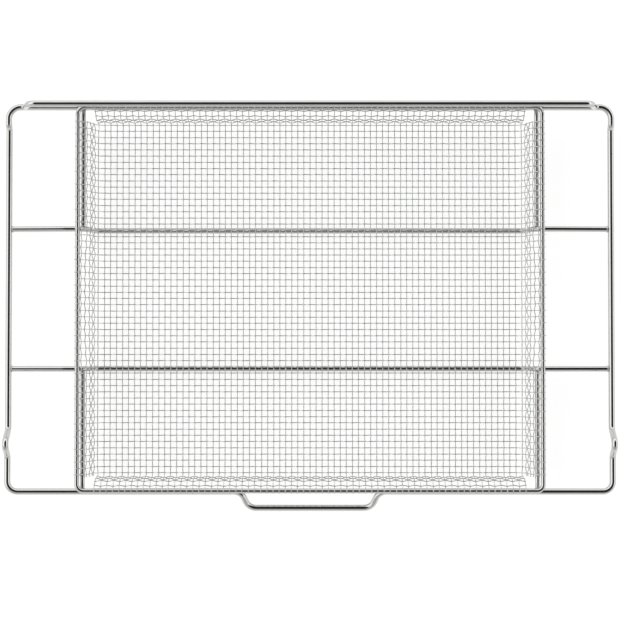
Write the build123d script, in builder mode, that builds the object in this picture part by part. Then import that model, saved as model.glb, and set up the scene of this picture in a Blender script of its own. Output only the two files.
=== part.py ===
from build123d import *
import os
from math import asin, atan2, cos, degrees, radians, sin, sqrt, tan

# Air fry tray: a welded wire oven rack that carries a shallow basket of folded wire cloth.
# X runs along the rack's width, +Y to the back of the oven, +Z up. The tray stands on z = 0.

# Driving dimensions in millimetres. Spacings run from wire centre to wire centre.

# Wire sizes and the room left between pieces
frame_wire_d = 6.4
cross_wire_d = 5.8
rod_d = 4.8
rim_wire_d = 4.8
mesh_wire_d = 1.0
weld_gap = 0.1
seat_gap = 0.15

# Rack frame: rails run a little below the two bars, and joggle up to them at the back
rail_spacing = 604.0
bar_spacing = 384.5
rail_drop = 4.0
rear_corner_r = 12.0
front_corner_r = 10.0
joggle_inset = 4.0
joggle_length = 3.2
joggle_bend_r = 4.5

# Stop hump in each rail
hump_setback = 47.5
hump_rise = 11.7
hump_angle = 55.0
hump_crest_r = 6.0
hump_foot_r = 8.0

# Handle bowed out of the front bar
handle_width = 138.0
handle_splay = 8.0
handle_reach = 17.0
handle_drop = 8.0
handle_bend_r = 11.0

# Back stop above the back bar
stop_foot_inset = 4.0
stop_lean = 8.0
stop_rise = 24.0
stop_bend_r = 8.0

# Basket: rim, cloth and the wires that carry it
side_window = 70.0
rim_setback = 1.0
rim_corner_r = 6.5
basket_depth = 27.0
side_fold_inset = 15.8
side_shoulder_inset = 11.2
end_fold_inset = 13.5
end_shoulder_inset = 10.5
shoulder_drop = 4.0
corner_relief = 1.5
mesh_pitch = 6.15
web_t = 0.5
hem_end_angle = 50.0
band_step = 6
cross_wire_spacing = 140.0
cross_bend_r = 8.0
cross_kink_offset = 14.0
cross_kink_r = 40.0
rod_inset = 5.0

# Heights, built up from the surface that the tray stands on
cloth_t = 2 * mesh_wire_d
ridge_h = (cloth_t - web_t) / 2
cross_floor_z = cross_wire_d / 2
web_z = cross_wire_d + seat_gap + ridge_h
rim_z = web_z + web_t / 2 + basket_depth
rim_bar_reach = rim_wire_d / 2 + weld_gap + frame_wire_d / 2
bar_z = rim_z - sqrt(rim_bar_reach**2 - rim_setback**2)
rail_z = bar_z - rail_drop
cross_seat_z = rim_z - rim_wire_d / 2 - weld_gap - cross_wire_d / 2
stop_z = bar_z + stop_rise

# Places in plan: the basket's middle lies behind the origin, because the handle reaches forward
hem_r = rim_wire_d / 2 + seat_gap + ridge_h
cross_offset = cross_wire_d / 2 + seat_gap + ridge_h
back_reach = frame_wire_d / 2
front_reach = handle_reach + frame_wire_d / 2
mid_y = (front_reach - back_reach) / 2
back_y = mid_y + bar_spacing / 2
front_y = mid_y - bar_spacing / 2
rail_x = rail_spacing / 2
stop_x = rail_x - rear_corner_r - stop_foot_inset
rim_x = rail_x - side_window
rim_y = bar_spacing / 2 - rim_setback
rod_x = rim_x - rod_inset
fold_x = rim_x - side_fold_inset
fold_y = bar_spacing / 2 - end_fold_inset
grip_x = handle_width / 2 - handle_splay
grip_y = front_y - handle_reach
grip_z = bar_z - handle_drop

os.makedirs("parts", exist_ok=True)


def left_normal(angle):
    """Unit vector 90 degrees to the left of a direction, given in radians."""
    return Vector(-sin(angle), cos(angle))


def raised(corners, rise):
    """Mitred points of half a cloth section, lifted off the web's underside by rise.

    Each corner is its point with the directions of the runs before and after it.
    """
    return [
        point + left_normal((before + after) / 2) * (rise / cos((after - before) / 2))
        for point, before, after in corners
    ]


def wall_outline(corners, low, high):
    """Closed outline of a folded-up wall between two heights above the web's underside."""
    return raised(corners, low) + raised(corners, high)[::-1]


def wire_outline(corners, low, high):
    """Closed outline of half a mesh wire, from the floor's middle up to the rim."""
    return [Vector(0, web_z + low)] + wall_outline(corners, low, high) + [Vector(0, web_z + high)]


def wire_places(half_width):
    """Distances of the mesh wires from the middle, out to half_width, with a gap in the middle."""
    count = int((half_width - mesh_wire_d / 2) / mesh_pitch + 0.5)
    return [(i + 0.5) * mesh_pitch for i in range(count)]


def band_wires(half_width):
    """The wires that stand for all: the pair in each band of the grid, and the outermost one."""
    wires = wire_places(half_width)
    in_band = (0, int(band_step) - 1)
    return [place for i, place in enumerate(wires) if i % int(band_step) in in_band or place == wires[-1]]


def openings(wires):
    """Middle and width of each opening between two bands of the given wires."""
    return [
        ((start + end) / 2, end - start - mesh_wire_d)
        for start, end in zip(wires, wires[1:])
        if end - start > 1.5 * mesh_pitch
    ]


def level_wires(start, end):
    """Places of the lowest and the highest wire that run level along a wall or a flange."""
    margin = (end - start).normalized() * mesh_pitch / 2
    return start + margin, end - margin


def wall_plane(section, along, low, high):
    """Plane in a wall, halfway between two of its level wires, with its X axis along the wall."""
    foot = section.from_local_coords(low)
    head = section.from_local_coords(high)
    return Plane((foot + head) / 2, x_dir=along, z_dir=Vector(along).cross(head - foot))


def slope_of(start, end):
    """Direction from one point of a section to another, in radians."""
    return atan2(end.Y - start.Y, end.X - start.X)


def hem_slope(shoulder, rim):
    """Direction of the flange that leads from a wall's shoulder onto the hem round the rim."""
    return slope_of(shoulder, rim) + asin(hem_r / (rim - shoulder).length)


# Side section of the cloth: floor, fold flattened round the cross wires, wall, shoulder and flange to the rim
rim_side = Vector(rim_x, rim_z)
side_fold = Vector(fold_x, web_z)
side_shoulder = rim_side - Vector(side_shoulder_inset, shoulder_drop)
side_slope = slope_of(side_fold, side_shoulder)
side_flange = hem_slope(side_shoulder, rim_side)
fold_reach = (cross_bend_r - cross_offset) * tan(side_slope / 2)
side_corners = [
    (side_fold - Vector(fold_reach, 0), 0, side_slope / 2),
    (side_fold + Vector(cos(side_slope), sin(side_slope)) * fold_reach, side_slope / 2, side_slope),
    (side_shoulder, side_slope, side_flange),
    (rim_side + left_normal(side_flange) * hem_r, side_flange, side_flange),
]

# End section of the cloth: floor, fold, wall, shoulder and flange to the rim
rim_end = Vector(rim_y, rim_z)
end_fold = Vector(fold_y, web_z)
end_shoulder = rim_end - Vector(end_shoulder_inset, shoulder_drop)
end_slope = slope_of(end_fold, end_shoulder)
end_flange = hem_slope(end_shoulder, rim_end)
end_corners = [
    (end_fold, 0, end_slope),
    (end_shoulder, end_slope, end_flange),
    (rim_end + left_normal(end_flange) * hem_r, end_flange, end_flange),
]

# Frame wire: one bent loop with the rails' humps and the handle, made as half and its mirror image
joggle_turn = atan2(rail_drop, joggle_length)
joggle_top_y = back_y - rear_corner_r - joggle_bend_r * tan(joggle_turn / 2) - joggle_inset
joggle_foot_y = joggle_top_y - joggle_length
hump_slope = tan(radians(hump_angle))
hump_apex_z = bar_z + hump_rise + hump_crest_r * (1 / cos(radians(hump_angle)) - 1)
hump_y = front_y + hump_setback
hump_rear_y = hump_y + (hump_apex_z - rail_z) / hump_slope
hump_front_y = hump_y - (hump_apex_z - bar_z) / hump_slope

with BuildPart() as frame_wire:
    with BuildLine() as frame_run:
        FilletPolyline(
            (0, back_y, bar_z),
            (rail_x, back_y, bar_z),
            (rail_x, joggle_top_y, bar_z),
            (rail_x, joggle_foot_y, rail_z),
            (rail_x, hump_rear_y, rail_z),
            (rail_x, hump_y, hump_apex_z),
            (rail_x, hump_front_y, bar_z),
            (rail_x, front_y, bar_z),
            (handle_width / 2, front_y, bar_z),
            (grip_x, grip_y, grip_z),
            (0, grip_y, grip_z),
            radius=[
                rear_corner_r,
                joggle_bend_r,
                joggle_bend_r,
                hump_foot_r,
                hump_crest_r,
                hump_foot_r,
                front_corner_r,
                handle_bend_r,
                handle_bend_r,
            ],
        )
    with BuildSketch(Plane(frame_run.line @ 0, z_dir=frame_run.line % 0)):
        Circle(frame_wire_d / 2)
    sweep()
    mirror(about=Plane.YZ)
frame_wire.part.label = "frame_wire"
export_step(frame_wire.part, "parts/frame_wire.step")

# Back stop: a straight rod over the back bar, its bent ends cut flat where they stand on the bar
with BuildPart() as back_stop:
    with BuildLine() as stop_run:
        FilletPolyline(
            (0, back_y, stop_z),
            (stop_x - stop_lean, back_y, stop_z),
            (stop_x, back_y, bar_z),
            radius=stop_bend_r,
        )
    with BuildSketch(Plane(stop_run.line @ 0, z_dir=stop_run.line % 0)):
        Circle(frame_wire_d / 2)
    sweep()
    split(bisect_by=Plane.XY.offset(bar_z + frame_wire_d / 2 + weld_gap), keep=Keep.TOP)
    mirror(about=Plane.YZ)
back_stop.part.label = "back_stop"
export_step(back_stop.part, "parts/back_stop.step")

# Cross wires: from rail to rail, up under the rim, down beside the basket wall and along under its floor
cross_end_x = rail_x - frame_wire_d / 2 - weld_gap
beside_fold = side_fold - left_normal(side_slope) * cross_offset
cross_top_x = beside_fold.X + (cross_seat_z - beside_fold.Y) / tan(side_slope)
cross_foot_x = beside_fold.X + (cross_floor_z - beside_fold.Y) / tan(side_slope)

for cross_name, cross_y in (
    ("cross_wire_rear", mid_y + cross_wire_spacing / 2),
    ("cross_wire_front", mid_y - cross_wire_spacing / 2),
):
    with BuildPart() as cross_wire:
        with BuildLine() as cross_run:
            FilletPolyline(
                (0, cross_y, cross_floor_z),
                (cross_foot_x, cross_y, cross_floor_z),
                (cross_top_x, cross_y, cross_seat_z),
                (rim_x + cross_kink_offset, cross_y, cross_seat_z),
                (cross_end_x, cross_y, rail_z),
                radius=[cross_bend_r, cross_bend_r, cross_kink_r],
            )
        with BuildSketch(Plane(cross_run.line @ 0, z_dir=cross_run.line % 0)):
            Circle(cross_wire_d / 2)
        sweep()
        mirror(about=Plane.YZ)
    cross_wire.part.label = cross_name
    export_step(cross_wire.part, f"parts/{cross_name}.step")

# Side rods: butt-welded between a bar and the nearest cross wire, just inside the rim
rod_inner = cross_wire_spacing / 2 + cross_wire_d / 2 + weld_gap
rod_outer = bar_spacing / 2 - frame_wire_d / 2 - weld_gap

for end_name, toward in (("rear", 1), ("front", -1)):
    for side_name, across in (("left", -1), ("right", 1)):
        rod_start = (across * rod_x, mid_y + toward * rod_inner, bar_z)
        with BuildPart() as side_rod:
            with BuildSketch(Plane(rod_start, z_dir=(0, toward, 0))):
                Circle(rod_d / 2)
            extrude(amount=rod_outer - rod_inner)
        rod_name = f"side_rod_{end_name}_{side_name}"
        side_rod.part.label = rod_name
        export_step(side_rod.part, f"parts/{rod_name}.step")

# Rim wire: a closed rectangle on top of the bars and cross wires, made as a quarter and its mirror images
with BuildPart() as rim_wire:
    with BuildLine() as rim_run:
        FilletPolyline(
            (0, mid_y + rim_y, rim_z),
            (rim_x, mid_y + rim_y, rim_z),
            (rim_x, mid_y, rim_z),
            radius=rim_corner_r,
        )
    with BuildSketch(Plane(rim_run.line @ 0, z_dir=rim_run.line % 0)):
        Circle(rim_wire_d / 2)
    sweep()
    mirror(about=Plane.XZ.offset(-mid_y))
    mirror(about=Plane.YZ)
rim_wire.part.label = "rim_wire"
export_step(rim_wire.part, "parts/rim_wire.step")

# Mesh basket: one cross-shaped blank of wire cloth, folded up on four sides with its corners left open.
# The cloth is drawn as a coarse grid: of every band_step mesh cells, one is a band of web with its two wires
# and the others are left open. Warp wires are ridges on the inside, weft wires ridges on the outside, and the
# hems curl over the rim. It is made as a quarter and its mirror images.
side_plane = Plane((0, mid_y, 0), x_dir=(1, 0, 0), z_dir=(0, -1, 0))
end_plane = Plane((0, mid_y, 0), x_dir=(0, 1, 0), z_dir=(1, 0, 0))
side_flap = fold_y - corner_relief
end_flap = fold_x - corner_relief
floor_x = side_corners[0][0].X
floor_y = end_corners[0][0].X
warp_places = band_wires(floor_x)
weft_places = band_wires(floor_y)

with BuildPart() as mesh_basket:
    # Plain web of the floor
    with BuildSketch(Plane((0, mid_y, web_z))):
        Rectangle(floor_x, floor_y, align=Align.MIN)
    extrude(amount=web_t)
    # Plain web of each wall with its hem
    for section, corners, rim, along, flap in (
        (side_plane, side_corners, rim_side, (0, 1, 0), side_flap),
        (end_plane, end_corners, rim_end, (1, 0, 0), end_flap),
    ):
        hem_start = degrees(corners[-1][1]) + 90
        with BuildSketch(section):
            with BuildLine():
                Polyline(*wall_outline(corners, 0, web_t), close=True)
            make_face()
            with BuildLine():
                inner_curl = CenterArc(rim, hem_r, hem_start, hem_end_angle - hem_start)
                outer_curl = CenterArc(rim, hem_r + web_t, hem_start, hem_end_angle - hem_start)
                Line(inner_curl @ 0, outer_curl @ 0)
                Line(inner_curl @ 1, outer_curl @ 1)
            make_face()
        extrude(amount=flap, dir=along)
    # Grid of openings in the floor
    with BuildSketch(Plane.XY.offset(web_z)):
        for x, width in openings(warp_places):
            for y, depth in openings(weft_places):
                with Locations((x, mid_y + y)):
                    Rectangle(width, depth)
    extrude(amount=cloth_t, both=True, mode=Mode.SUBTRACT)
    # A row of openings in each wall and each flange, between two wires that run level
    for section, corners, along, flap, places, rise in (
        (side_plane, side_corners, (0, 1, 0), side_flap, weft_places, web_t + ridge_h / 2),
        (end_plane, end_corners, (1, 0, 0), end_flap, warp_places, -ridge_h / 2),
    ):
        for (start, _, _), (end, slope, _) in zip(corners[-3:], corners[-2:]):
            low, high = level_wires(start, end)
            with BuildSketch(wall_plane(section, along, low, high)):
                for place, width in openings(places):
                    with Locations((place, 0)):
                        Rectangle(width, (high - low).length - mesh_wire_d)
            extrude(amount=cloth_t, both=True, mode=Mode.SUBTRACT)
            with BuildSketch(section):
                with Locations(*[wire + left_normal(slope) * rise for wire in (low, high)]):
                    Rectangle(mesh_wire_d, ridge_h + web_t, rotation=degrees(slope))
            extrude(amount=flap, dir=along)
    # Warp wires over the floor and up the end wall
    with BuildSketch(*[end_plane.offset(x) for x in warp_places]):
        with BuildLine():
            Polyline(*wire_outline(end_corners, web_t / 2, web_t + ridge_h), close=True)
        make_face()
    extrude(amount=mesh_wire_d / 2, both=True)
    # Weft wires under the floor and up the side wall
    with BuildSketch(*[side_plane.offset(-y) for y in weft_places]):
        with BuildLine():
            Polyline(*wire_outline(side_corners, -ridge_h, web_t / 2), close=True)
        make_face()
    extrude(amount=mesh_wire_d / 2, both=True)
    mirror(about=Plane.XZ.offset(-mid_y))
    mirror(about=Plane.YZ)
mesh_basket.part.label = "mesh_basket"
export_step(mesh_basket.part, "parts/mesh_basket.step")
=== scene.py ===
"""Looks of the air fry tray: bright wire rack, woven wire basket, studio floor, light and camera."""
from __future__ import annotations

import logging
import math
import random
from dataclasses import dataclass
from enum import Enum

import bmesh
import bpy
from mathutils import Matrix, Vector

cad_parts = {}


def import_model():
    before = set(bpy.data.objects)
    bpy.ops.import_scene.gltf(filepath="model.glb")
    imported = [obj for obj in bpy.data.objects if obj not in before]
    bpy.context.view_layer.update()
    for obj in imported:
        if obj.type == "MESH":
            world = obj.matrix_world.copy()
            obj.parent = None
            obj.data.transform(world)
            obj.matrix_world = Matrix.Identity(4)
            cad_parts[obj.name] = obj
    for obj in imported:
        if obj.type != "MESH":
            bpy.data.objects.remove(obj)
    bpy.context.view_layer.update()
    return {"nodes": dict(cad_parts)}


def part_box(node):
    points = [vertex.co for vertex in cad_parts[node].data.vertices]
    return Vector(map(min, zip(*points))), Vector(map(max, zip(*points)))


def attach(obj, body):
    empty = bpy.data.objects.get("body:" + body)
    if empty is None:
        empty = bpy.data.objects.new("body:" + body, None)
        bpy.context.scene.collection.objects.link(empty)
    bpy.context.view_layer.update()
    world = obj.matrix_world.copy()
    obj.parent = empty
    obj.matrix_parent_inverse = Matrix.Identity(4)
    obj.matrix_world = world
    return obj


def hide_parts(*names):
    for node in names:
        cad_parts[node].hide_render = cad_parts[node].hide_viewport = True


LOG = logging.getLogger("air_fry_tray")
BODY = "root"
MM = 0.001
RACK_SMOOTH_ANGLE = math.radians(40)
ROUND_SMOOTH_ANGLE = math.radians(80)


class Run(Enum):
    """Which way a mesh wire runs in the flat cloth, and the axis that its fold line bends."""

    WARP = "Y"
    WEFT = "X"

    @property
    def crossing(self) -> Run:
        """The run of the wires that cross this one."""
        return Run.WEFT if self is Run.WARP else Run.WARP


# Tilt of a fold line's points at which the flat cloth's top stays on top
FOLD_TILT = {Run.WARP: -math.pi / 2, Run.WEFT: 0.0}


class Slot(Enum):
    """The record's material slots."""

    RACK = "bright_wire"
    MESH = "mesh_wire"


@dataclass(frozen=True)
class SteelFinish:
    """Bright steel wire whose polish is a little uneven."""

    name: str
    color: tuple[float, float, float]
    dull_color: tuple[float, float, float]
    roughness: tuple[float, float]
    patch_scale: float
    grain_scale: float
    grain_height: float
    patch_detail: float = 3.0
    grain_detail: float = 4.0
    grain_strength: float = 0.25

    def material(self) -> bpy.types.Material:
        """Build the finish's node material.

        Returns:
            The new material.
        """
        material = bpy.data.materials.new(self.name)
        material.use_nodes = True
        nodes = material.node_tree.nodes
        links = material.node_tree.links
        shader = nodes["Principled BSDF"]
        shader.inputs["Metallic"].default_value = 1.0
        place = nodes.new("ShaderNodeTexCoord")

        patches = nodes.new("ShaderNodeTexNoise")
        patches.inputs["Scale"].default_value = self.patch_scale
        patches.inputs["Detail"].default_value = self.patch_detail
        links.new(place.outputs["Object"], patches.inputs["Vector"])
        tone = nodes.new("ShaderNodeMix")
        tone.data_type = "RGBA"
        tone.inputs["A"].default_value = (*self.color, 1.0)
        tone.inputs["B"].default_value = (*self.dull_color, 1.0)
        links.new(patches.outputs["Fac"], tone.inputs["Factor"])
        links.new(tone.outputs["Result"], shader.inputs["Base Color"])

        grain = nodes.new("ShaderNodeTexNoise")
        grain.inputs["Scale"].default_value = self.grain_scale
        grain.inputs["Detail"].default_value = self.grain_detail
        links.new(place.outputs["Object"], grain.inputs["Vector"])
        polish = nodes.new("ShaderNodeMapRange")
        polish.inputs["To Min"].default_value = self.roughness[0]
        polish.inputs["To Max"].default_value = self.roughness[1]
        links.new(grain.outputs["Fac"], polish.inputs["Value"])
        links.new(polish.outputs["Result"], shader.inputs["Roughness"])
        relief = nodes.new("ShaderNodeBump")
        relief.inputs["Strength"].default_value = self.grain_strength
        relief.inputs["Distance"].default_value = self.grain_height
        links.new(grain.outputs["Fac"], relief.inputs["Height"])
        links.new(relief.outputs["Normal"], shader.inputs["Normal"])
        return material


RACK_STEEL = SteelFinish(
    name="plated_rack_wire",
    color=(0.62, 0.62, 0.61),
    dull_color=(0.54, 0.54, 0.53),
    roughness=(0.06, 0.14),
    patch_scale=45.0,
    grain_scale=900.0,
    grain_height=0.04 * MM,
)
MESH_STEEL = SteelFinish(
    name="drawn_mesh_wire",
    color=(0.70, 0.70, 0.69),
    dull_color=(0.58, 0.58, 0.57),
    roughness=(0.10, 0.20),
    patch_scale=120.0,
    grain_scale=2600.0,
    grain_height=0.02 * MM,
)


def deselect_all() -> None:
    """Leave edit mode and clear the selection."""
    if bpy.context.object and bpy.context.object.mode != "OBJECT":
        bpy.ops.object.mode_set(mode="OBJECT")
    bpy.ops.object.select_all(action="DESELECT")


def make_active(piece: bpy.types.Object) -> None:
    """Select one object and make it the active one."""
    deselect_all()
    piece.select_set(True)
    bpy.context.view_layer.objects.active = piece


def apply_modifier(piece: bpy.types.Object, modifier: bpy.types.Modifier) -> None:
    """Apply one modifier to its piece."""
    make_active(piece)
    bpy.ops.object.modifier_apply(modifier=modifier.name)


def copy_of(piece: bpy.types.Object, move: Matrix) -> bpy.types.Object:
    """Copy a piece with its own mesh, moved in that mesh.

    Args:
        piece: The piece to copy.
        move: Where the copy's mesh goes.

    Returns:
        The copy.
    """
    copy = piece.copy()
    copy.data = piece.data.copy()
    copy.data.transform(move)
    bpy.context.scene.collection.objects.link(copy)
    return copy


def joined(pieces: list[bpy.types.Object], name: str) -> bpy.types.Object:
    """Join pieces into one object.

    Args:
        pieces: The pieces, of which the first takes the others in.
        name: The joined object's name.

    Returns:
        The joined object.
    """
    make_active(pieces[0])
    for piece in pieces:
        piece.select_set(True)
    bpy.ops.object.join()
    whole = bpy.context.object
    whole.name = name
    whole.data.name = name
    return whole


def arc(centre: Vector, radius: float, start: float, end: float, step: float) -> list[Vector]:
    """Points on an arc from one angle to another.

    Args:
        centre: The arc's centre.
        radius: Its radius in metres.
        start: First angle in radians.
        end: Last angle in radians.
        step: Largest turn between two points in radians.

    Returns:
        The points, with both ends.
    """
    count = max(2, math.ceil(abs(end - start) / step))
    angles = [start + (end - start) * i / count for i in range(count + 1)]
    return [centre + Vector((math.cos(a), math.sin(a))) * radius for a in angles]


def rounded(corners: list[tuple[Vector, float]], step: float) -> list[Vector]:
    """Round the inner corners of an open line.

    Args:
        corners: Each corner's point and radius; the two ends have no radius.
        step: Largest turn between two points in radians.

    Returns:
        The points of the rounded line.
    """
    points = [corners[0][0]]
    for before, (corner, radius), after in zip(corners, corners[1:], corners[2:]):
        arriving = (corner - before[0]).normalized()
        leaving = (after[0] - corner).normalized()
        turn = arriving.angle_signed(leaving) * -1
        side = math.copysign(1.0, turn)
        left = Vector((-arriving.y, arriving.x)) * side
        centre = corner - arriving * radius * math.tan(abs(turn) / 2) + left * radius
        start = math.atan2(-left.y, -left.x)
        points += arc(centre, radius, start, start + turn, step)
    points.append(corners[-1][0])
    return points


def line_length(points: list[Vector]) -> float:
    """Length of an open line through points."""
    return sum((b - a).length for a, b in zip(points, points[1:]))


def height_at(points: list[Vector], across: float) -> float:
    """Height of an outward line at a distance from its start, or of its end beyond that."""
    for a, b in zip(points, points[1:]):
        if a.x <= across < b.x:
            return a.y + (b.y - a.y) * (across - a.x) / (b.x - a.x)
    return points[-1].y


def eased(share: float) -> float:
    """A share held between 0 and 1, with a soft start and end."""
    share = min(1.0, max(0.0, share))
    return share * share * (3 - 2 * share)


@dataclass(frozen=True)
class Hem:
    """Line over the rim wire on which the cloth's edge lies."""

    centre: Vector
    radius: float
    end_angle: float

    def tangent_from(self, point: Vector) -> float:
        """Direction of the line from a point inside the basket onto the hem's top, in radians."""
        reach = self.centre - point
        return math.atan2(reach.y, reach.x) + math.asin(self.radius / reach.length)


@dataclass(frozen=True)
class Lay:
    """How parallel mesh wires lie in the flat cloth."""

    pitch: float
    offset: float

    def place(self, index: int) -> float:
        """Distance of a wire from the cloth's middle, by its number."""
        return (index + 0.5) * self.pitch + self.offset


LAYS = {
    Run.WARP: Lay(pitch=6.125 * MM, offset=3.0625 * MM),
    Run.WEFT: Lay(pitch=6.29 * MM, offset=-2.165 * MM),
}


@dataclass(frozen=True)
class WallShape:
    """How a wall of the basket stands: its fold at the floor and its shoulder below the rim."""

    fold_inset: float
    fold_radius: float
    shoulder_inset: float
    shoulder_height: float
    shoulder_radius: float


HELD_SIDE = WallShape(
    fold_inset=15.8 * MM,
    fold_radius=11.0 * MM,
    shoulder_inset=11.3 * MM,
    shoulder_height=29.2 * MM,
    shoulder_radius=4.0 * MM,
)
SLACK_SIDE = WallShape(
    fold_inset=15.2 * MM,
    fold_radius=10.0 * MM,
    shoulder_inset=12.8 * MM,
    shoulder_height=22.5 * MM,
    shoulder_radius=9.0 * MM,
)
END_WALL = WallShape(
    fold_inset=12.5 * MM,
    fold_radius=3.0 * MM,
    shoulder_inset=10.75 * MM,
    shoulder_height=28.0 * MM,
    shoulder_radius=3.0 * MM,
)


@dataclass
class WovenBasket:
    """Plain-woven wire cloth, cut to a cross, folded up on four sides and laid over the rim."""

    wire_diameter: float = 1.0 * MM
    crimp: float = 0.62 * MM
    seat_gap: float = 0.15 * MM
    wire_sides: int = 6
    rings_per_wave: int = 6
    corner_relief: float = 1.0 * MM
    level_overrun: float = 1.5 * MM
    hem_end: float = math.radians(50)
    slack_fade: float = 40.0 * MM
    corner_fade: float = 14.0 * MM
    turn_step: float = math.radians(6)
    stray: float = 0.18 * MM
    merge_reach: float = 0.05 * MM
    seed: int = 11

    def __post_init__(self) -> None:
        """Take the rim and the cross wires from the frame."""
        rim_low, rim_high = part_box("rim_wire")
        cross_low, cross_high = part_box("cross_wire_rear")
        front_low, front_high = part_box("cross_wire_front")
        rim_d = rim_high.z - rim_low.z
        cross_d = cross_high.y - cross_low.y
        self.mid_y = (rim_low.y + rim_high.y) / 2
        self.cloth_half = self.wire_diameter
        self.floor_z = cross_d + self.seat_gap + self.cloth_half
        self.rim_x = rim_high.x - rim_d / 2
        self.rim_y = (rim_high.y - rim_low.y - rim_d) / 2
        self.rim_z = rim_high.z - rim_d / 2
        self.hem_radius = rim_d / 2 + self.seat_gap + self.cloth_half
        self.slack_half = (cross_low.y + cross_high.y - front_low.y - front_high.y) / 4
        self.random = random.Random(self.seed)

    def section(self, wall: WallShape, rim: float) -> list[Vector]:
        """Line of the cloth's middle from hem to hem.

        Args:
            wall: The shape of the walls at both ends of the line.
            rim: Distance of the rim from the basket's middle.

        Returns:
            Points in the section's plane, from the left hem's end to the right one's.
        """
        half = self.wall_line(wall, rim)
        hem = self.hem(rim)
        slope = hem.tangent_from(self.shoulder(wall, rim))
        half += arc(hem.centre, hem.radius, slope + math.pi / 2, hem.end_angle, self.turn_step)[1:]
        return [Vector((-p.x, p.y)) for p in reversed(half[1:])] + half

    def hem(self, rim: float) -> Hem:
        """The hem over a rim at a distance from the basket's middle."""
        return Hem(Vector((rim, self.rim_z)), self.hem_radius, self.hem_end)

    def shoulder(self, wall: WallShape, rim: float) -> Vector:
        """Corner of a section where the wall turns outwards to the rim."""
        return Vector((rim - wall.shoulder_inset, wall.shoulder_height))

    def wall_line(self, wall: WallShape, rim: float) -> list[Vector]:
        """Half of a section, up to where it lands on the rim.

        Args:
            wall: The wall's shape.
            rim: Distance of the rim from the basket's middle.

        Returns:
            Points from the floor's middle to the rim.
        """
        hem = self.hem(rim)
        fold = Vector((rim - wall.fold_inset, self.floor_z))
        shoulder = self.shoulder(wall, rim)
        slope = hem.tangent_from(shoulder)
        landing = hem.centre + Vector((-math.sin(slope), math.cos(slope))) * hem.radius
        corners = [
            (Vector((0.0, self.floor_z)), 0.0),
            (fold, wall.fold_radius),
            (shoulder, wall.shoulder_radius),
            (landing, 0.0),
        ]
        return rounded(corners, self.turn_step)

    def crimped_wire(self, length: float, sign: int, run: Run) -> bpy.types.Object:
        """Model one straight wire with its crimp, centred on the origin.

        Args:
            length: The wire's length in metres.
            sign: 1 or -1, for a wire that first goes over or under.
            run: Which way the wire runs.

        Returns:
            The wire.
        """
        crossing = LAYS[run.crossing]
        wave = 2 * crossing.pitch
        ring_step = wave / self.rings_per_wave
        ring_reach = ring_step / 4
        crest = math.sin(math.pi * ring_step / crossing.pitch)
        deselect_all()
        bpy.ops.mesh.primitive_cylinder_add(
            vertices=self.wire_sides,
            radius=self.wire_diameter / 2,
            depth=wave,
            end_fill_type="NOTHING",
            location=(0, 0, 0),
            rotation=(0, math.pi / 2, 0),
        )
        wire = bpy.context.object
        bpy.ops.object.transform_apply(location=True, rotation=True, scale=True)
        bpy.ops.object.mode_set(mode="EDIT")
        bpy.ops.mesh.select_mode(type="EDGE")
        bpy.ops.mesh.select_all(action="DESELECT")
        shape = bmesh.from_edit_mesh(wire.data)
        for edge in shape.edges:
            edge.select_set(abs(edge.verts[0].co.x - edge.verts[1].co.x) > wave / 2)
        bpy.ops.mesh.subdivide(number_cuts=self.rings_per_wave - 1)
        bpy.ops.mesh.select_mode(type="VERT")
        for ring in range(self.rings_per_wave + 1):
            x = ring * ring_step - wave / 2
            bpy.ops.mesh.select_all(action="DESELECT")
            shape = bmesh.from_edit_mesh(wire.data)
            for vertex in shape.verts:
                vertex.select_set(abs(vertex.co.x - x) < ring_reach)
            rise = sign * self.crimp * math.sin(math.pi * x / crossing.pitch) / crest
            bpy.ops.transform.translate(value=(0, 0, rise))
        bpy.ops.object.mode_set(mode="OBJECT")
        half_count = math.ceil(length / 2 / wave) + 1
        wire.data.transform(Matrix.Translation((crossing.offset - half_count * wave, 0, 0)))
        array = wire.modifiers.new("waves", "ARRAY")
        array.use_relative_offset = False
        array.use_constant_offset = True
        array.constant_offset_displace = (wave, 0, 0)
        array.count = 2 * half_count
        array.use_merge_vertices = True
        array.merge_threshold = self.merge_reach
        apply_modifier(wire, array)
        bpy.ops.object.mode_set(mode="EDIT")
        for end in (-1, 1):
            bpy.ops.mesh.select_all(action="SELECT")
            bpy.ops.mesh.bisect(
                plane_co=(end * length / 2, 0, 0),
                plane_no=(end, 0, 0),
                use_fill=True,
                clear_outer=True,
            )
        bpy.ops.object.mode_set(mode="OBJECT")
        if run is Run.WARP:
            wire.data.transform(Matrix.Rotation(math.pi / 2, 4, "Z"))
        return wire

    def laid_wires(self, indices: list[int], length: float, run: Run, name: str) -> bpy.types.Object:
        """Lay parallel wires flat at the mesh's pitch, every second one crimped the other way.

        Args:
            indices: Each wire's number, counted from the cloth's middle.
            length: The wires' length in metres.
            run: Which way they run.
            name: The joined object's name.

        Returns:
            The wires as one object.
        """
        models = [self.crimped_wire(length, sign, run) for sign in (1, -1)]
        across = Vector((1, 0, 0)) if run is Run.WARP else Vector((0, 1, 0))
        wires = []
        for index in indices:
            place = LAYS[run].place(index) + self.random.uniform(-self.stray, self.stray)
            wires.append(copy_of(models[index % 2], Matrix.Translation(across * place)))
        for model in models:
            bpy.data.objects.remove(model)
        return joined(wires, name)

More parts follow.
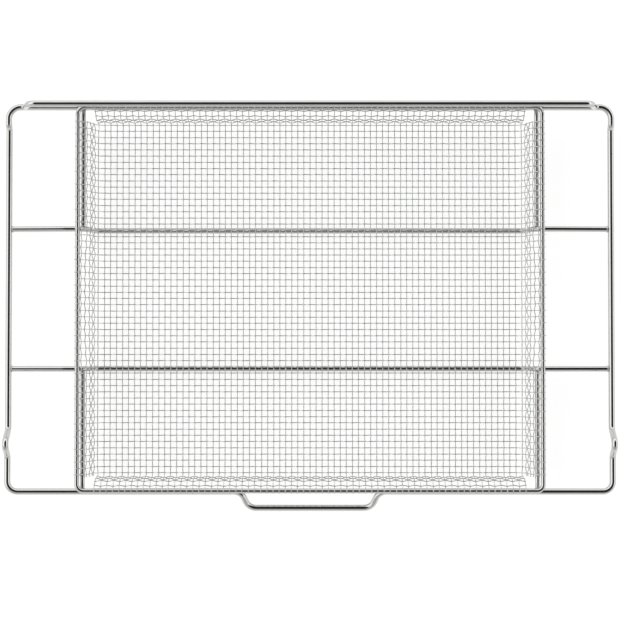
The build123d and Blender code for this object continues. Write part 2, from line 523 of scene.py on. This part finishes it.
    def fold(self, cloth: bpy.types.Object, section: list[Vector], axis: Run) -> None:
        """Bend flat wires along a section line.

        Args:
            cloth: The flat wires, centred on the origin.
            section: Points of the line, from hem to hem.
            axis: WEFT where the line runs across the tray, WARP where it runs from front to back.
        """
        length = line_length(section)
        along = Vector((1, 0, 0)) if axis is Run.WEFT else Vector((0, 1, 0))
        line = bpy.data.curves.new("fold_line", "CURVE")
        line.dimensions = "3D"
        line.twist_mode = "MINIMUM"
        line.use_radius = False
        spline = line.splines.new("POLY")
        spline.points.add(len(section) - 1)
        for knot, point in zip(spline.points, section):
            knot.co = (*(along * point.x + Vector((0, 0, point.y))), 1.0)
            knot.tilt = FOLD_TILT[axis]
        guide = bpy.data.objects.new("fold_line", line)
        bpy.context.scene.collection.objects.link(guide)
        cloth.data.transform(Matrix.Translation(along * (length / 2)))
        bend = cloth.modifiers.new("fold", "CURVE")
        bend.object = guide
        bend.deform_axis = f"POS_{axis.value}"
        apply_modifier(cloth, bend)
        bpy.data.objects.remove(guide)
        bpy.data.curves.remove(line)

    def fold_sides(self, cloth: bpy.types.Object) -> None:
        """Fold the cloth's sides up, bulging inwards between the cross wires.

        Args:
            cloth: The flat wires, centred on the origin.
        """
        slack = copy_of(cloth, Matrix.Identity(4))
        self.fold(cloth, self.section(HELD_SIDE, self.rim_x), Run.WEFT)
        self.fold(slack, self.section(SLACK_SIDE, self.rim_x), Run.WEFT)
        for held, loose in zip(cloth.data.vertices, slack.data.vertices):
            held.co = held.co.lerp(loose.co, self.slack_share(held.co.y))
        bpy.data.objects.remove(slack)

    def slack_share(self, y: float) -> float:
        """How far a side wall has its slack shape, from 0 at the cross wires to 1 between them."""
        return eased((self.slack_half - abs(y)) / self.slack_fade)

    def lift_edges(self, warp: bpy.types.Object, side_flap: float) -> None:
        """Raise the floor's outer wires onto the side folds' curve, fading out towards the end walls.

        Args:
            warp: The folded floor wires.
            side_flap: Distance of the side walls' ends from the basket's middle.
        """
        held = self.wall_line(HELD_SIDE, self.rim_x)
        slack = self.wall_line(SLACK_SIDE, self.rim_x)
        for vertex in warp.data.vertices:
            x, y = abs(vertex.co.x), abs(vertex.co.y)
            if x > held[1].x and y < side_flap:
                share = self.slack_share(y)
                height = height_at(held, x) * (1 - share) + height_at(slack, x) * share
                vertex.co.z += (height - self.floor_z) * eased((side_flap - y) / self.corner_fade)

    def indices(self, half_width: float, run: Run) -> list[int]:
        """Numbers of the wires that lie wholly within half_width of the middle."""
        reach = half_width - self.wire_diameter / 2
        most = math.ceil(half_width / LAYS[run].pitch) + 1
        return [i for i in range(-most, most) if abs(LAYS[run].place(i)) <= reach]

    def build(self, finish: bpy.types.Material) -> list[bpy.types.Object]:
        """Weave and fold the cloth.

        Args:
            finish: The wires' material.

        Returns:
            The warp and the weft, which stand for the CAD basket.
        """
        side_line = self.section(HELD_SIDE, self.rim_x)
        end_line = self.section(END_WALL, self.rim_y)
        end_flap = self.rim_x - HELD_SIDE.fold_inset - self.corner_relief
        side_flap = self.rim_y - END_WALL.fold_inset - self.corner_relief
        floor_warp = self.indices(end_flap, Run.WARP)
        floor_weft = self.indices(side_flap, Run.WEFT)
        side_reach = line_length(self.wall_line(HELD_SIDE, self.rim_x)) + self.level_overrun
        end_reach = line_length(self.wall_line(END_WALL, self.rim_y)) + self.level_overrun
        wall_warp = [i for i in self.indices(side_reach, Run.WARP) if i not in floor_warp]
        wall_weft = [i for i in self.indices(end_reach, Run.WEFT) if i not in floor_weft]

        warp = self.laid_wires(floor_warp, line_length(end_line), Run.WARP, "basket_warp")
        self.fold(warp, end_line, Run.WARP)
        self.lift_edges(warp, side_flap)
        side_warp = self.laid_wires(wall_warp, 2 * side_flap, Run.WARP, "side_warp")
        self.fold_sides(side_warp)
        weft = self.laid_wires(floor_weft, line_length(side_line), Run.WEFT, "basket_weft")
        self.fold_sides(weft)
        end_weft = self.laid_wires(wall_weft, 2 * end_flap, Run.WEFT, "end_weft")
        self.fold(end_weft, end_line, Run.WARP)

        pieces = [joined([warp, side_warp], "basket_warp"), joined([weft, end_weft], "basket_weft")]
        for piece in pieces:
            piece.data.transform(Matrix.Translation((0, self.mid_y, 0)))
            make_active(piece)
            bpy.ops.object.shade_smooth_by_angle(angle=ROUND_SMOOTH_ANGLE)
            piece.data.materials.clear()
            piece.data.materials.append(finish)
            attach(piece, BODY)
            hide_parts("mesh_basket")
        return pieces


@dataclass
class WireRack:
    """The welded rack: its CAD wires, dressed in bright steel."""

    basket_node: str = "mesh_basket"

    def dress(
        self,
        nodes: dict[str, bpy.types.Object],
        finish: bpy.types.Material,
    ) -> list[bpy.types.Object]:
        """Give every rack wire its finish.

        Args:
            nodes: The CAD nodes by name.
            finish: The wires' material.

        Returns:
            The dressed wires.
        """
        wires = [node for name, node in nodes.items() if name != self.basket_node]
        for wire in wires:
            make_active(wire)
            bpy.ops.object.shade_smooth_by_angle(angle=RACK_SMOOTH_ANGLE)
            wire.data.materials.clear()
            wire.data.materials.append(finish)
        return wires


@dataclass
class WeldBeads:
    """Weld metal where the cross wires meet the rails and where the back stop stands on the back bar."""

    rail_drop: float = 4.0 * MM
    end_size: tuple[float, float, float] = (3.6 * MM, 6.5 * MM, 6.3 * MM)
    foot_size: tuple[float, float, float] = (8.6 * MM, 5.8 * MM, 3.4 * MM)
    end_overlap: float = 0.9 * MM
    foot_spread: float = 1.1
    softening: float = 0.5
    segments: int = 24
    rings: int = 14

    def bead(self, place: Vector, size: tuple[float, float, float]) -> bpy.types.Object:
        """Model one bead, drawn out to its size and spread where it runs down onto the wire below.

        Args:
            place: The bead's middle.
            size: Its length along each axis in metres.

        Returns:
            The bead.
        """
        deselect_all()
        bpy.ops.mesh.primitive_uv_sphere_add(segments=self.segments, ring_count=self.rings, radius=0.5)
        bead = bpy.context.object
        bpy.ops.object.mode_set(mode="EDIT")
        bpy.ops.mesh.select_mode(type="VERT")
        bpy.ops.mesh.select_all(action="DESELECT")
        shape = bmesh.from_edit_mesh(bead.data)
        for vertex in shape.verts:
            vertex.select_set(vertex.co.z < 0)
        bpy.ops.transform.resize(value=(self.foot_spread, self.foot_spread, 1.0))
        bpy.ops.mesh.select_all(action="SELECT")
        bpy.ops.transform.resize(value=size)
        bpy.ops.mesh.vertices_smooth(factor=self.softening)
        bpy.ops.object.mode_set(mode="OBJECT")
        bead.data.transform(Matrix.Translation(place))
        return bead

    def places(self) -> list[tuple[Vector, tuple[float, float, float]]]:
        """Where each bead sits, and its size."""
        rod_low, rod_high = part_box("side_rod_rear_left")
        rail_z = (rod_low.z + rod_high.z) / 2 - self.rail_drop
        spots = []
        for name in ("cross_wire_rear", "cross_wire_front"):
            low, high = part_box(name)
            for x in (low.x + self.end_overlap, high.x - self.end_overlap):
                spots.append((Vector((x, (low.y + high.y) / 2, rail_z)), self.end_size))
        low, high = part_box("back_stop")
        radius = (high.y - low.y) / 2
        for x in (low.x + radius, high.x - radius):
            spots.append((Vector((x, (low.y + high.y) / 2, low.z)), self.foot_size))
        return spots

    def build(self, finish: bpy.types.Material) -> bpy.types.Object:
        """Model every bead as one piece.

        Args:
            finish: The rack's material.

        Returns:
            The beads.
        """
        beads = joined([self.bead(place, size) for place, size in self.places()], "weld_beads")
        make_active(beads)
        bpy.ops.object.shade_smooth_by_angle(angle=ROUND_SMOOTH_ANGLE)
        beads.data.materials.clear()
        beads.data.materials.append(finish)
        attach(beads, BODY)
        return beads


@dataclass
class Studio:
    """Pale floor, soft light all round with a dark patch overhead, and the camera above the tray."""

    floor_size: float = 40.0
    floor_color: float = 0.30
    floor_glow: float = 0.84
    back_light: float = 1.5
    front_light: float = 0.60
    overhead_light: float = 0.03
    horizon_light: float = 1.0
    front_fade: tuple[float, float] = (-0.60, -0.15)
    horizon_fade: tuple[float, float] = (0.12, 0.36)
    patch_across: float = math.radians(37)
    patch_along: float = math.radians(44)
    patch_centre: tuple[float, float] = (0.15, 0.08)
    patch_edge: float = 0.08
    camera_height: float = 1.6585
    camera_y: float = -0.0447
    aim_y: float = -0.0027
    aim_z: float = 0.02825
    field_of_view: float = math.radians(21.53)
    near_clip: float = 0.05

    def build(self) -> None:
        """Build the whole studio."""
        self.lay_floor()
        self.light_surround()
        self.place_camera()
        bpy.context.scene.view_settings.view_transform = "Standard"

    def lay_floor(self) -> None:
        """Lay a floor that looks white and still takes the tray's shadow."""
        deselect_all()
        bpy.ops.mesh.primitive_plane_add(size=self.floor_size)
        floor = bpy.context.object
        floor.name = "studio_floor"
        material = bpy.data.materials.new("pale_floor")
        material.use_nodes = True
        nodes = material.node_tree.nodes
        links = material.node_tree.links
        nodes.remove(nodes["Principled BSDF"])
        matte = nodes.new("ShaderNodeBsdfDiffuse")
        matte.inputs["Color"].default_value = (self.floor_color,) * 3 + (1.0,)
        glow = nodes.new("ShaderNodeEmission")
        rays = nodes.new("ShaderNodeLightPath")
        seen = nodes.new("ShaderNodeMath")
        seen.operation = "MAXIMUM"
        links.new(rays.outputs["Is Camera Ray"], seen.inputs[0])
        links.new(rays.outputs["Is Glossy Ray"], seen.inputs[1])
        shown = nodes.new("ShaderNodeMath")
        shown.operation = "MAXIMUM"
        links.new(seen.outputs["Value"], shown.inputs[0])
        links.new(rays.outputs["Is Transmission Ray"], shown.inputs[1])
        level = nodes.new("ShaderNodeMath")
        level.operation = "MULTIPLY"
        level.inputs[1].default_value = self.floor_glow
        links.new(shown.outputs["Value"], level.inputs[0])
        links.new(level.outputs["Value"], glow.inputs["Strength"])
        both = nodes.new("ShaderNodeAddShader")
        links.new(matte.outputs["BSDF"], both.inputs[0])
        links.new(glow.outputs["Emission"], both.inputs[1])
        links.new(both.outputs["Shader"], nodes["Material Output"].inputs["Surface"])
        floor.data.materials.append(material)

    def light_surround(self) -> None:
        """Light from all round: most at the back and sides, white at the horizon, least overhead."""
        world = bpy.data.worlds.new("soft_surround")
        bpy.context.scene.world = world
        world.use_nodes = True
        nodes = world.node_tree.nodes
        links = world.node_tree.links
        place = nodes.new("ShaderNodeTexCoord")
        axes = nodes.new("ShaderNodeSeparateXYZ")
        links.new(place.outputs["Generated"], axes.inputs["Vector"])
        around = nodes.new("ShaderNodeMapRange")
        around.interpolation_type = "SMOOTHSTEP"
        around.inputs["From Min"].default_value = self.front_fade[0]
        around.inputs["From Max"].default_value = self.front_fade[1]
        around.inputs["To Min"].default_value = self.front_light
        around.inputs["To Max"].default_value = self.back_light
        links.new(axes.outputs["Y"], around.inputs["Value"])
        raised = nodes.new("ShaderNodeMapRange")
        raised.interpolation_type = "SMOOTHSTEP"
        raised.inputs["From Min"].default_value = self.horizon_fade[0]
        raised.inputs["From Max"].default_value = self.horizon_fade[1]
        links.new(axes.outputs["Z"], raised.inputs["Value"])
        wall = nodes.new("ShaderNodeMix")
        wall.data_type = "FLOAT"
        wall.inputs["A"].default_value = self.horizon_light
        links.new(raised.outputs["Result"], wall.inputs["Factor"])
        links.new(around.outputs["Result"], wall.inputs["B"])
        spread = Vector((1 / math.sin(self.patch_across), 1 / math.sin(self.patch_along), 0.0))
        shift = (-self.patch_centre[0] * spread.x, -self.patch_centre[1] * spread.y, 0.0)
        patch = nodes.new("ShaderNodeVectorMath")
        patch.operation = "MULTIPLY_ADD"
        patch.inputs[1].default_value = spread
        patch.inputs[2].default_value = shift
        links.new(place.outputs["Generated"], patch.inputs[0])
        reach = nodes.new("ShaderNodeVectorMath")
        reach.operation = "LENGTH"
        links.new(patch.outputs["Vector"], reach.inputs[0])
        outside = nodes.new("ShaderNodeMapRange")
        outside.interpolation_type = "SMOOTHSTEP"
        outside.inputs["From Min"].default_value = 1 - self.patch_edge
        outside.inputs["From Max"].default_value = 1 + self.patch_edge
        links.new(reach.outputs["Value"], outside.inputs["Value"])
        level = nodes.new("ShaderNodeMix")
        level.data_type = "FLOAT"
        level.inputs["A"].default_value = self.overhead_light
        links.new(outside.outputs["Result"], level.inputs["Factor"])
        links.new(wall.outputs["Result"], level.inputs["B"])
        links.new(level.outputs["Result"], nodes["Background"].inputs["Strength"])
        nodes["Background"].inputs["Color"].default_value = (1.0, 1.0, 1.0, 1.0)

    def place_camera(self) -> None:
        """Place the camera almost straight above, as in the photograph."""
        lens = bpy.data.cameras.new("camera")
        lens.angle = self.field_of_view
        lens.clip_start = self.near_clip
        camera = bpy.data.objects.new("camera", lens)
        bpy.context.scene.collection.objects.link(camera)
        camera.location = (0, self.camera_y, self.camera_height)
        sight = Vector((0, self.aim_y, self.aim_z)) - camera.location
        camera.rotation_euler = sight.to_track_quat("-Z", "Y").to_euler()
        bpy.context.scene.camera = camera


def main() -> None:
    """Load the frame, dress the rack, weave the basket and set up the studio."""
    logging.basicConfig(level=logging.INFO, format="%(message)s")
    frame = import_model()
    rack_finish = RACK_STEEL.material()
    rack_wires = WireRack().dress(frame["nodes"], rack_finish)
    LOG.info("rack wires dressed: %d", len(rack_wires))
    pieces = [WeldBeads().build(rack_finish), *WovenBasket().build(MESH_STEEL.material())]
    for piece in pieces:
        LOG.info("%s: %d faces", piece.name, len(piece.data.polygons))
    Studio().build()


if __name__ == "__main__":
    main()
